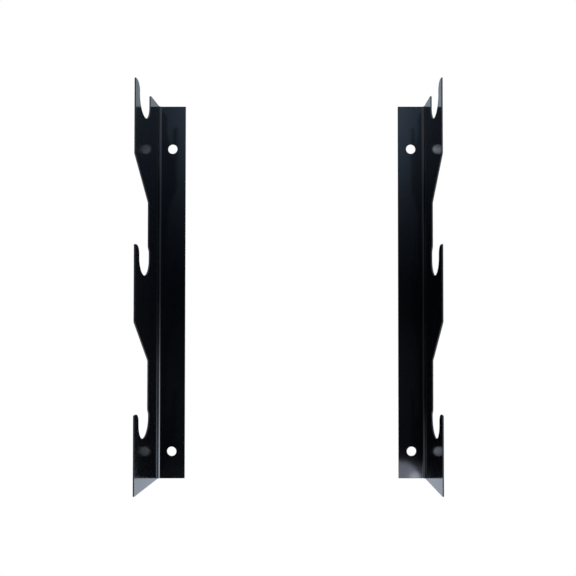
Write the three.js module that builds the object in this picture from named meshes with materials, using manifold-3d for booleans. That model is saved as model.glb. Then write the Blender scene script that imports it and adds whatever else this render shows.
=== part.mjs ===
// Wall-mounted barbell storage rack: a pair of mirrored uprights, each one
// piece of 2.1 mm steel plate. The blank is cut to a hooked outline and folded
// once, so that every upright has a narrow wall leg, which is bolted flat to
// the wall, and a deep flange that stands straight out from it. The flange
// carries three hooks, one above the other, each with an open cradle between its
// horn and the spine behind it. A load lies across both uprights in a pair of
// cradles at the same height.
//
// Frame, in millimetres: +X to the right for someone who faces the wall, +Y
// into the wall, +Z up. The origin is on the wall plane (y = 0), in the middle
// of the four fixing holes. The whole rack lies in front of the wall, at y < 0.
// "Reach" below is the distance in front of the wall leg's front face.

import * as THREE from 'three';
import { mergeVertices } from 'three/addons/utils/BufferGeometryUtils.js';
import Module from 'manifold-3d';

// ---------------------------------------------------------------------------
// Driving dimensions
// ---------------------------------------------------------------------------
const PLATE = 2.1;                // plate thickness
const BEND_INNER_R = 4.0;         // inside radius of the fold
const HOLE_PITCH_X = 406.4;       // between the two uprights' hole lines
const HOLE_PITCH_Z = 514.0;       // between an upright's upper and lower hole
const HOLE_D = 16.0;              // fixing hole
const LEG_INBOARD = 22.0;         // hole line to the wall leg's free edge
const LEG_OUTBOARD = 24.6;        // hole line to the flange's outer face
const TOP_Z = 329.9;              // top edge of the wall leg and of the spine
const BOTTOM_Z = -302.4;          // bottom edge of the wall leg
const REACH = 124.9;              // horn fronts, in front of the wall leg
const NOSE_Z = -287.8;            // flange's bottom corner, under the horns

const CRADLE_REAR = 51.9;         // reach of a cradle's rear wall
const CRADLE_DEPTH = 45.0;        // horn tip down to a cradle's half-round bottom
const HORN_INNER = 105.3;         // reach of a horn's inner edge
const HORN_FRONT_R = 1.5;         // horn tip, front corner
const HORN_REAR_R = 13.0;         // horn tip, corner towards the cradle
const PEAK_R = 4.0;               // top corner of the spine
const SLOPE_R = 4.0;              // ends of the slope under a hook
const STEP_R = 8.0;               // where the spine runs down into a cradle

// The three hooks, from the top down. tip: height of the horn's tip. Below the
// horn, the front edge runs straight down to slopeTop, and the underside then
// slopes back to the spine's front edge at slopeEnd. spine: reach of the
// spine's front edge below this hook, down to the next hook's cradle.
const HOOKS = [
  { tip: TOP_Z, slopeTop: 216.8, slopeEnd: 155.0, spine: 57.6 },
  { tip: 83.0, slopeTop: -32.2, slopeEnd: -97.2, spine: 56.9 },
  { tip: -169.2 },
];
// Ends of the short slanted step from the spine's front edge into the cradle
// below it: upper end on the spine, lower end on the cradle's rear wall.
const STEPS = [
  { top: 84.0, bottom: 77.0 },
  { top: -175.0, bottom: -182.8 },
];

const ARC_STEP = 6;               // degrees between two points of an arc
const HOLE_SIDES = 60;

const CRADLE_R = (HORN_INNER - CRADLE_REAR) / 2;

// ---------------------------------------------------------------------------
// Outlines
// ---------------------------------------------------------------------------

// A closed outline through corners [x, y, r], each rounded with its radius r.
function roundedOutline(corners, stepDegrees = ARC_STEP) {
  const outline = [];
  const push = (p) => {
    const last = outline[outline.length - 1];
    if (!last || last.distanceTo(p) > 0.02) outline.push(p);
  };
  corners.forEach(([x, y, r], i) => {
    const at = (k) => {
      const c = corners[(k + corners.length) % corners.length];
      return new THREE.Vector2(c[0], c[1]);
    };
    const corner = new THREE.Vector2(x, y);
    if (!r) {
      push(corner);
      return;
    }
    const toPrev = at(i - 1).sub(corner).normalize();
    const toNext = at(i + 1).sub(corner).normalize();
    const half = Math.acos(THREE.MathUtils.clamp(toPrev.dot(toNext), -1, 1)) / 2;
    const middle = toPrev.clone().add(toNext).normalize()
      .multiplyScalar(r / Math.sin(half)).add(corner);
    const tangent = r / Math.tan(half);
    const from = corner.clone().addScaledVector(toPrev, tangent).sub(middle);
    const to = corner.clone().addScaledVector(toNext, tangent).sub(middle);
    let sweep = to.angle() - from.angle();
    if (sweep > Math.PI) sweep -= 2 * Math.PI;
    if (sweep < -Math.PI) sweep += 2 * Math.PI;
    const steps = Math.max(2, Math.ceil(THREE.MathUtils.radToDeg(Math.abs(sweep)) / stepDegrees));
    for (let k = 0; k <= steps; k++) {
      const a = from.angle() + (sweep * k) / steps;
      push(new THREE.Vector2(middle.x + r * Math.cos(a), middle.y + r * Math.sin(a)));
    }
  });
  while (outline[0].distanceTo(outline[outline.length - 1]) < 0.02) outline.pop();
  return outline;
}

// Side outline of an upright: reach against height, bottom edge first.
function sideOutline() {
  const corners = [
    [-PLATE, BOTTOM_Z, 0],
    [0, BOTTOM_Z, 0],
    [REACH, NOSE_Z, HORN_FRONT_R],
  ];
  for (let i = HOOKS.length - 1; i >= 0; i--) {
    const hook = HOOKS[i];
    const bottom = hook.tip - CRADLE_DEPTH;
    if (hook.slopeTop !== undefined) {
      corners.push([hook.spine, hook.slopeEnd, SLOPE_R], [REACH, hook.slopeTop, SLOPE_R]);
    }
    corners.push(
      [REACH, hook.tip, HORN_FRONT_R],
      [HORN_INNER, hook.tip, HORN_REAR_R],
      [HORN_INNER, bottom, CRADLE_R],
      [CRADLE_REAR, bottom, CRADLE_R],
    );
    if (i > 0) {
      const step = STEPS[i - 1];
      corners.push(
        [CRADLE_REAR, step.bottom, STEP_R],
        [HOOKS[i - 1].spine, step.top, STEP_R],
      );
    }
  }
  corners.push([CRADLE_REAR, TOP_Z, PEAK_R], [-PLATE, TOP_Z, 0]);
  return roundedOutline(corners);
}

// Plan section of the folded plate: x from the hole line, y from the wall.
function planSection() {
  const outer = BEND_INNER_R + PLATE;
  return roundedOutline([
    [-LEG_INBOARD, 0, 0],
    [-LEG_INBOARD, -PLATE, 0],
    [LEG_OUTBOARD - PLATE, -PLATE, BEND_INNER_R],
    [LEG_OUTBOARD - PLATE, -PLATE - REACH, 0],
    [LEG_OUTBOARD, -PLATE - REACH, 0],
    [LEG_OUTBOARD, 0, outer],
  ], 7.5);
}

// ---------------------------------------------------------------------------
// Solids
// ---------------------------------------------------------------------------
const wasm = await Module();
wasm.setup();

// A closed three.js geometry as a solid that can be joined and cut.
function toSolid(geometry) {
  const bare = geometry.clone();
  bare.deleteAttribute('normal');
  bare.deleteAttribute('uv');
  const merged = mergeVertices(bare, 1e-4);
  return new wasm.Manifold(new wasm.Mesh({
    numProp: 3,
    vertProperties: new Float32Array(merged.attributes.position.array),
    triVerts: new Uint32Array(merged.index.array),
  }));
}

// The solid's surface as a geometry. With mirrored set, it is the mirror image
// in x, and each triangle is turned over so that it still faces out.
function toGeometry(solid, mirrored) {
  const mesh = solid.getMesh();
  const position = new Float32Array((mesh.vertProperties.length / mesh.numProp) * 3);
  for (let i = 0, n = position.length / 3; i < n; i++) {
    for (let k = 0; k < 3; k++) position[3 * i + k] = mesh.vertProperties[mesh.numProp * i + k];
    if (mirrored) position[3 * i] *= -1;
  }
  const index = new Uint32Array(mesh.triVerts);
  if (mirrored) {
    for (let i = 0; i < index.length; i += 3) [index[i], index[i + 1]] = [index[i + 1], index[i]];
  }
  let geometry = new THREE.BufferGeometry();
  geometry.setAttribute('position', new THREE.BufferAttribute(position, 3));
  geometry.setIndex(new THREE.BufferAttribute(index, 1));
  geometry = geometry.toNonIndexed();
  geometry.computeVertexNormals();
  return geometry;
}

// The folded plate at full height, still with straight edges.
function foldedPlate() {
  const height = TOP_Z - BOTTOM_Z + 20;
  const geometry = new THREE.ExtrudeGeometry(new THREE.Shape(planSection()), {
    depth: height, bevelEnabled: false, curveSegments: 1,
  });
  geometry.translate(0, 0, BOTTOM_Z - 10);
  return toSolid(geometry);
}

// Everything that the side outline leaves standing, right across the plate.
function sideBlank() {
  const shape = new THREE.Shape(sideOutline().map((p) => new THREE.Vector2(-PLATE - p.x, p.y)));
  const geometry = new THREE.ExtrudeGeometry(shape, {
    depth: LEG_INBOARD + LEG_OUTBOARD + 20, bevelEnabled: false, curveSegments: 1,
  });
  // shape x -> y, shape y -> z, depth -> x
  geometry.applyMatrix4(new THREE.Matrix4().set(
    0, 0, 1, -LEG_INBOARD - 10,
    1, 0, 0, 0,
    0, 1, 0, 0,
    0, 0, 0, 1,
  ));
  return toSolid(geometry);
}

// One fixing hole through the wall leg, on the hole line.
function holeCutter(z) {
  const geometry = new THREE.CylinderGeometry(HOLE_D / 2, HOLE_D / 2, PLATE + 4, HOLE_SIDES);
  geometry.translate(0, -PLATE / 2, z);
  return toSolid(geometry);
}

const uprightSolid = foldedPlate()
  .intersect(sideBlank())
  .subtract(holeCutter(HOLE_PITCH_Z / 2))
  .subtract(holeCutter(-HOLE_PITCH_Z / 2));

// ---------------------------------------------------------------------------
// Assembly
// ---------------------------------------------------------------------------
function upright(name, side) {
  const material = new THREE.MeshStandardMaterial({
    name: 'black_powder_coat', color: 0x08090b, roughness: 0.22, metalness: 0.0,
  });
  const mesh = new THREE.Mesh(toGeometry(uprightSolid, side < 0), material);
  mesh.name = name;
  mesh.position.x = (side * HOLE_PITCH_X) / 2;
  return mesh;
}

const rack = new THREE.Group();
rack.name = 'barbell_storage_rack';
rack.add(upright('left_upright', -1));
rack.add(upright('right_upright', 1));

export default rack;
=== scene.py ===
"""Wall-mounted barbell storage rack: a mirrored pair of folded steel uprights
in glossy black powder coat, on a plain white set, seen square from the front."""

import math

import bmesh
import bpy
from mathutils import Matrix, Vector


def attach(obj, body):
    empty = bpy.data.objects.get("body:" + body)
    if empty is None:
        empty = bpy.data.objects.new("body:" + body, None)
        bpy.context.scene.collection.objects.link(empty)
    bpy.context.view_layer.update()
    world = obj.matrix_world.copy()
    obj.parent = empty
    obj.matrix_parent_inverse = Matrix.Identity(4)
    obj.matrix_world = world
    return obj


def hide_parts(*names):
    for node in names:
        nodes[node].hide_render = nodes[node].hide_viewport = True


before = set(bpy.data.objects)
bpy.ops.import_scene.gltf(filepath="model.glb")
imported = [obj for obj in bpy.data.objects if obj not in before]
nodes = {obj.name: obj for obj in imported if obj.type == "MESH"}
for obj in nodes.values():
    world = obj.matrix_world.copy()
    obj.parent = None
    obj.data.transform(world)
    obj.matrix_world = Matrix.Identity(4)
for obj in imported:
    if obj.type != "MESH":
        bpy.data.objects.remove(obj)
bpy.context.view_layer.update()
scene = bpy.context.scene

# ---------------------------------------------------------------------------
# Camera: square on, level with the middle of the rack
# ---------------------------------------------------------------------------
PHOTO = 576.0                    # pixels, both ways
FOCAL_PX = 541.235               # focal length in pixels of the picture
AXIS_X_PX = 311.742              # where the optical axis meets the picture
PITCH = 0.01429                  # radians above level

cam_data = bpy.data.cameras.new("camera")
cam = bpy.data.objects.new("camera", cam_data)
scene.collection.objects.link(cam)
scene.camera = cam
cam_data.sensor_fit = "HORIZONTAL"
cam_data.sensor_width = 36.0
cam_data.lens = FOCAL_PX * 36.0 / PHOTO
cam_data.shift_x = -(AXIS_X_PX - PHOTO / 2) / PHOTO
cam_data.clip_start = 0.02
cam_data.clip_end = 50.0
cam.location = (0.034179, -0.922671, 0.006663)
cam.rotation_euler = (math.pi / 2 + PITCH, 0.0, 0.0)

# ---------------------------------------------------------------------------
# Node helpers
# ---------------------------------------------------------------------------


class Graph:
    """Short calls for making and joining shader nodes."""

    def __init__(self, tree):
        self.tree = tree
        tree.nodes.clear()

    def add(self, kind, **settings):
        node = self.tree.nodes.new(kind)
        for key, value in settings.items():
            setattr(node, key, value)
        return node

    def put(self, socket, value):
        if isinstance(value, bpy.types.NodeSocket):
            self.tree.links.new(value, socket)
        else:
            socket.default_value = value

    def math(self, operation, a, b=0.0, c=None, clamp=False):
        node = self.add("ShaderNodeMath", operation=operation, use_clamp=clamp)
        self.put(node.inputs[0], a)
        self.put(node.inputs[1], b)
        if c is not None:
            self.put(node.inputs[2], c)
        return node.outputs[0]

    def ramp(self, value, low, high, out_low=0.0, out_high=1.0, smooth=True):
        node = self.add("ShaderNodeMapRange", clamp=True)
        node.interpolation_type = "SMOOTHSTEP" if smooth else "LINEAR"
        self.put(node.inputs["Value"], value)
        self.put(node.inputs["From Min"], low)
        self.put(node.inputs["From Max"], high)
        self.put(node.inputs["To Min"], out_low)
        self.put(node.inputs["To Max"], out_high)
        return node.outputs["Result"]

    def curve(self, value, points):
        """A piecewise smooth function of value through points (x, y), level outside them."""
        total = points[0][1]
        for (x0, y0), (x1, y1) in zip(points, points[1:]):
            total = self.math("ADD", total, self.ramp(value, x0, x1, 0.0, y1 - y0))
        return total

    def window(self, value, start, full, end_full, end):
        """0 below start, 1 between full and end_full, 0 above end."""
        return self.math(
            "MULTIPLY", self.ramp(value, start, full), self.ramp(value, end_full, end, 1.0, 0.0)
        )


# ---------------------------------------------------------------------------
# Uprights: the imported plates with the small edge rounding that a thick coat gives
# ---------------------------------------------------------------------------
EDGE_R = 0.00025                 # rounding of every cut edge, metres
HOLE_LINE_X = 0.2032             # the folded plate's own sizes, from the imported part
PLATE = 0.0021
FLANGE_X = 0.0246                # flange's outer face, outboard of the hole line
BEND_R = 0.0040


def on_cut_edge(face):
    """Whether a face lies on the cut rim of the plate, and not on one of its two skins."""
    middle = face.calc_center_median()
    outboard = abs(middle.x) - HOLE_LINE_X
    in_flange = middle.y < -(PLATE + BEND_R)
    in_leg = outboard < FLANGE_X - PLATE - BEND_R
    if in_flange:
        return abs(face.normal.x) < 0.95
    if in_leg:
        return abs(face.normal.y) < 0.95
    return abs(face.normal.z) > 0.3


def coated(node_name):
    """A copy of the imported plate, its flats joined into whole faces, with every cut edge rounded."""
    source = nodes[node_name]
    bm = bmesh.new()
    bm.from_mesh(source.data)
    bmesh.ops.remove_doubles(bm, verts=bm.verts, dist=3e-5)
    bmesh.ops.dissolve_limit(
        bm, angle_limit=math.radians(0.4), use_dissolve_boundaries=False, verts=bm.verts, edges=bm.edges
    )
    bm.normal_update()
    sharp = [e for e in bm.edges if len(e.link_faces) == 2 and e.calc_face_angle() > math.radians(40)]
    bmesh.ops.bevel(
        bm, geom=sharp, offset=EDGE_R, offset_type="OFFSET", segments=3, profile=0.5, affect="EDGES",
        clamp_overlap=False, loop_slide=False, material=-1,
    )
    # the rounding leaves a few points a hair outside the plate's own box
    box = [(min(v.co[k] for v in source.data.vertices), max(v.co[k] for v in source.data.vertices))
           for k in range(3)]
    for vert in bm.verts:
        for k, (low, high) in enumerate(box):
            vert.co[k] = min(max(vert.co[k], low), high)
    bm.normal_update()
    rim = bm.faces.layers.float.new("cut_edge")
    for face in bm.faces:
        face.smooth = True
        face[rim] = 1.0 if on_cut_edge(face) else 0.0
    mesh = bpy.data.meshes.new(node_name + "_coated")
    bm.to_mesh(mesh)
    bm.free()
    piece = bpy.data.objects.new(node_name + "_coated", mesh)
    scene.collection.objects.link(piece)
    weighted = piece.modifiers.new("normals", "WEIGHTED_NORMAL")
    weighted.mode = "FACE_AREA"
    weighted.weight = 100
    weighted.thresh = 0.01
    weighted.keep_sharp = False
    return piece


# ---------------------------------------------------------------------------
# Black powder coat
# ---------------------------------------------------------------------------
def powder_coat():
    material = bpy.data.materials.new("black_powder_coat")
    material.use_nodes = True
    g = Graph(material.node_tree)
    out = g.add("ShaderNodeOutputMaterial")
    bsdf = g.add("ShaderNodeBsdfPrincipled")
    g.tree.links.new(bsdf.outputs[0], out.inputs["Surface"])
    place = g.add("ShaderNodeTexCoord").outputs["Object"]

    # colour: near black, a touch blue, with a slow drift in depth
    drift = g.add("ShaderNodeTexNoise")
    g.put(drift.inputs["Vector"], place)
    g.put(drift.inputs["Scale"], 9.0)
    g.put(drift.inputs["Detail"], 3.0)
    tint = g.add("ShaderNodeMix", data_type="RGBA")
    g.put(tint.inputs["Factor"], g.ramp(drift.outputs["Fac"], 0.3, 0.7))
    tint.inputs["A"].default_value = (0.0007, 0.0008, 0.0014, 1.0)
    tint.inputs["B"].default_value = (0.0013, 0.0014, 0.0022, 1.0)
    g.tree.links.new(tint.outputs["Result"], bsdf.inputs["Base Color"])

    # gloss: the melt is a little uneven from patch to patch
    patches = g.add("ShaderNodeTexNoise")
    g.put(patches.inputs["Vector"], place)
    g.put(patches.inputs["Scale"], 55.0)
    g.put(patches.inputs["Detail"], 4.0)
    rough = g.ramp(patches.outputs["Fac"], 0.3, 0.7, 0.105, 0.125)
    # the sawn look of a laser cut shows through the coat along the plate's rim
    rim = g.add("ShaderNodeAttribute", attribute_type="GEOMETRY", attribute_name="cut_edge").outputs["Fac"]
    rough = g.math("ADD", rough, g.math("MULTIPLY", rim, 0.34))
    g.tree.links.new(rough, bsdf.inputs["Roughness"])

    # orange peel: shallow cells about 2 mm across, a finer grain over them and a slow wave under them
    peel = g.add("ShaderNodeTexNoise")
    g.put(peel.inputs["Vector"], place)
    g.put(peel.inputs["Scale"], 420.0)
    g.put(peel.inputs["Detail"], 1.5)
    grain = g.add("ShaderNodeTexNoise")
    g.put(grain.inputs["Vector"], place)
    g.put(grain.inputs["Scale"], 1900.0)
    g.put(grain.inputs["Detail"], 2.0)
    wave = g.add("ShaderNodeTexNoise")
    g.put(wave.inputs["Vector"], place)
    g.put(wave.inputs["Scale"], 125.0)
    g.put(wave.inputs["Detail"], 1.0)
    height = g.math("ADD", peel.outputs["Fac"], g.math("MULTIPLY", grain.outputs["Fac"], 0.12))
    height = g.math("ADD", height, g.math("MULTIPLY", wave.outputs["Fac"], 4.0))
    bump = g.add("ShaderNodeBump")
    bump.inputs["Strength"].default_value = 0.2
    bump.inputs["Distance"].default_value = 0.00002
    g.tree.links.new(height, bump.inputs["Height"])
    g.tree.links.new(bump.outputs["Normal"], bsdf.inputs["Normal"])

    bsdf.inputs["Metallic"].default_value = 0.0
    bsdf.inputs["IOR"].default_value = 1.52
    return material


coat = powder_coat()
for name in ("left_upright", "right_upright"):
    piece = coated(name)
    piece.data.materials.clear()
    piece.data.materials.append(coat)
    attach(piece, "root")
    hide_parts(name)
for node in nodes.values():
    node.data.materials.clear()
    node.data.materials.append(coat)

# ---------------------------------------------------------------------------
# Set: a bright pale floor well below the rack, and the studio all round
# ---------------------------------------------------------------------------
FLOOR_Z = -1.2
FLOOR_Y = -0.4


def make_floor():
    mesh = bpy.data.meshes.new("floor")
    bm = bmesh.new()
    bmesh.ops.create_circle(bm, cap_ends=True, segments=128, radius=1.75)
    bm.to_mesh(mesh)
    bm.free()
    floor = bpy.data.objects.new("floor", mesh)
    floor.location = (0.0, FLOOR_Y, FLOOR_Z)
    scene.collection.objects.link(floor)
    material = bpy.data.materials.new("pale_floor")
    material.use_nodes = True
    g = Graph(material.node_tree)
    out = g.add("ShaderNodeOutputMaterial")
    mix = g.add("ShaderNodeAddShader")
    matt = g.add("ShaderNodeBsdfDiffuse")
    matt.inputs["Color"].default_value = (0.80, 0.70, 0.59, 1.0)
    glow = g.add("ShaderNodeEmission")
    glow.inputs["Color"].default_value = (1.0, 0.95, 0.91, 1.0)
    glow.inputs["Strength"].default_value = 0.30
    g.tree.links.new(matt.outputs[0], mix.inputs[0])
    g.tree.links.new(glow.outputs[0], mix.inputs[1])
    g.tree.links.new(mix.outputs[0], out.inputs["Surface"])
    mesh.materials.append(material)
    return floor


make_floor()


def make_world():
    world = bpy.data.worlds.new("studio")
    scene.world = world
    world.use_nodes = True
    g = Graph(world.node_tree)
    out = g.add("ShaderNodeOutputWorld")
    direction = g.add("ShaderNodeTexCoord").outputs["Generated"]
    split = g.add("ShaderNodeSeparateXYZ")
    g.tree.links.new(direction, split.inputs[0])
    x, y, z = split.outputs
    level = g.math("SQRT", g.math("ADD", g.math("MULTIPLY", x, x), g.math("MULTIPLY", y, y)))
    rise = g.math("DIVIDE", z, g.math("MAXIMUM", level, 0.02))      # tangent of the elevation
    deg = 180.0 / math.pi
    # degrees from straight in front of the rack (-Y), to the right
    front = g.math("MULTIPLY", g.math("ARCTAN2", x, g.math("MULTIPLY", y, -1.0)), deg)
    # degrees from straight behind it (+Y), to the right
    back = g.math("MULTIPLY", g.math("ARCTAN2", x, y), deg)
    turn = g.math("ABSOLUTE", front)                                # 0 in front, 180 behind

    # behind: bright above and below, dark at the level
    below = g.math("MULTIPLY", g.ramp(rise, -0.31, -0.298, 1.0, 0.0), g.ramp(back, -9.0, 12.0, 0.89, 1.23))
    above = g.curve(rise, [(0.31, 0.0), (0.335, 0.70), (1.2, 0.9), (3.0, 1.2)])
    above = g.math("MULTIPLY", above, g.ramp(back, -9.0, 12.0, 0.77, 0.95))
    outer = g.math("ADD", g.math("ADD", below, above), 0.11)
    # two soft strips at the height of the bolt holes, which end a little to either side
    upper = g.math("SUBTRACT", rise, g.ramp(back, -13.0, 17.0, 0.2643, 0.2571))
    lower = g.math("SUBTRACT", rise, g.ramp(back, -13.0, 17.0, -0.2785, -0.2724))
    strips = g.math(
        "ADD",
        g.math("MULTIPLY", g.window(upper, -0.0082, -0.001, 0.001, 0.0082), g.ramp(back, -9.0, 12.0, 1.45, 1.0)),
        g.math("MULTIPLY", g.window(lower, -0.0092, -0.002, 0.002, 0.0092), g.ramp(back, -9.0, 12.0, 0.90, 0.58)),
    )
    behind = g.math("ADD", outer, g.math("MULTIPLY", strips, g.window(back, -13.2, -12.3, 15.4, 16.9)))

    # in front: dark at the level and below, a soft cool light from above, stronger towards the middle
    ahead = g.curve(rise, [
        (-0.34, 0.15), (-0.31, 0.04), (-0.20, 0.054), (-0.10, 0.043), (-0.02, 0.019), (0.03, 0.019),
        (0.10, 0.057), (0.17, 0.140), (0.24, 0.31), (0.32, 0.50), (0.6, 0.7), (3.0, 1.3)])
    middle = g.curve(front, [
        (-17.0, 0.6), (-13.3, 1.05), (-12.2, 1.9), (-9.5, 1.9), (-5.0, 2.6), (5.0, 3.2), (9.0, 1.85), (12.5, 0.6),
        (16.0, 1.9), (25.0, 1.4)])
    # low down, the middle isn't stronger than the rest
    low = g.math("MINIMUM", middle, 1.0)
    middle = g.math("ADD", low, g.math("MULTIPLY", g.math("SUBTRACT", middle, low), g.ramp(rise, -0.30, -0.10)))
    ahead = g.math("MULTIPLY", ahead, middle)
    ahead = g.math("ADD", ahead, g.math("MULTIPLY", g.window(front, 16.5, 18.0, 25.0, 30.0), 0.3))

    # at the sides: dim at the level, brighter above and below, and a strong low light off to the right
    sides = g.curve(rise, [
        (-0.34, 1.5), (-0.29, 0.9), (-0.2, 0.25), (0.0, 0.2), (0.17, 0.45), (0.3, 0.9), (0.6, 1.05), (3.0, 1.2)])
    lamp = g.curve(rise, [(-0.33, 8.5), (-0.17, 5.6), (-0.07, 0.9), (0.0, 0.15), (0.1, 0.0)])
    sides = g.math("ADD", sides, g.math("MULTIPLY", lamp, g.window(front, 22.0, 34.0, 62.0, 84.0)))

    w_ahead = g.ramp(turn, 24.0, 36.0, 1.0, 0.0)
    w_behind = g.ramp(turn, 120.0, 145.0)
    w_sides = g.math("SUBTRACT", g.math("SUBTRACT", 1.0, w_ahead), w_behind)
    light = g.math(
        "ADD",
        g.math("MULTIPLY", behind, w_behind),
        g.math("ADD", g.math("MULTIPLY", ahead, w_ahead), g.math("MULTIPLY", sides, w_sides)),
    )

    colour = g.add("ShaderNodeMix", data_type="RGBA")
    g.put(colour.inputs["Factor"], g.math("MULTIPLY", w_ahead, g.ramp(rise, -0.05, 0.12)))
    colour.inputs["A"].default_value = (0.88, 0.99, 1.15, 1.0)
    colour.inputs["B"].default_value = (0.70, 0.95, 1.33, 1.0)
    studio = g.add("ShaderNodeBackground")
    g.tree.links.new(colour.outputs["Result"], studio.inputs["Color"])
    g.tree.links.new(light, studio.inputs["Strength"])

    # what the lens sees directly is the plain white set
    white = g.add("ShaderNodeBackground")
    white.inputs["Color"].default_value = (1.0, 1.0, 1.0, 1.0)
    white.inputs["Strength"].default_value = 1.0
    path = g.add("ShaderNodeLightPath")
    mix = g.add("ShaderNodeMixShader")
    g.tree.links.new(path.outputs["Is Camera Ray"], mix.inputs[0])
    g.tree.links.new(studio.outputs[0], mix.inputs[1])
    g.tree.links.new(white.outputs[0], mix.inputs[2])
    g.tree.links.new(mix.outputs[0], out.inputs["Surface"])
    world.cycles.sampling_method = "MANUAL"
    world.cycles.sample_map_resolution = 2048


make_world()


def make_softbox(name, size, energy, location):
    """A small round light low in front of the right upright, facing the wall."""
    data = bpy.data.lights.new(name, "AREA")
    data.shape = "DISK"
    data.size = size
    data.energy = energy
    data.color = (0.89, 0.97, 1.18)
    light = bpy.data.objects.new(name, data)
    scene.collection.objects.link(light)
    light.location = location
    light.rotation_euler = (math.pi / 2, 0.0, 0.0)
    light.visible_camera = False


# its image is the pale corner at the foot of the right wall leg, brighter on the outboard side
make_softbox("low_softbox", 0.086, 0.055, (0.2200, -0.222, -0.3845))
make_softbox("low_softbox_core", 0.024, 0.0068, (0.2510, -0.2215, -0.3750))

scene.view_settings.view_transform = "Standard"
scene.view_settings.look = "None"
scene.view_settings.exposure = 0.0
scene.view_settings.gamma = 1.0

# ---------------------------------------------------------------------------
# Bring the scene's transforms up to date
# ---------------------------------------------------------------------------
bpy.context.view_layer.update()
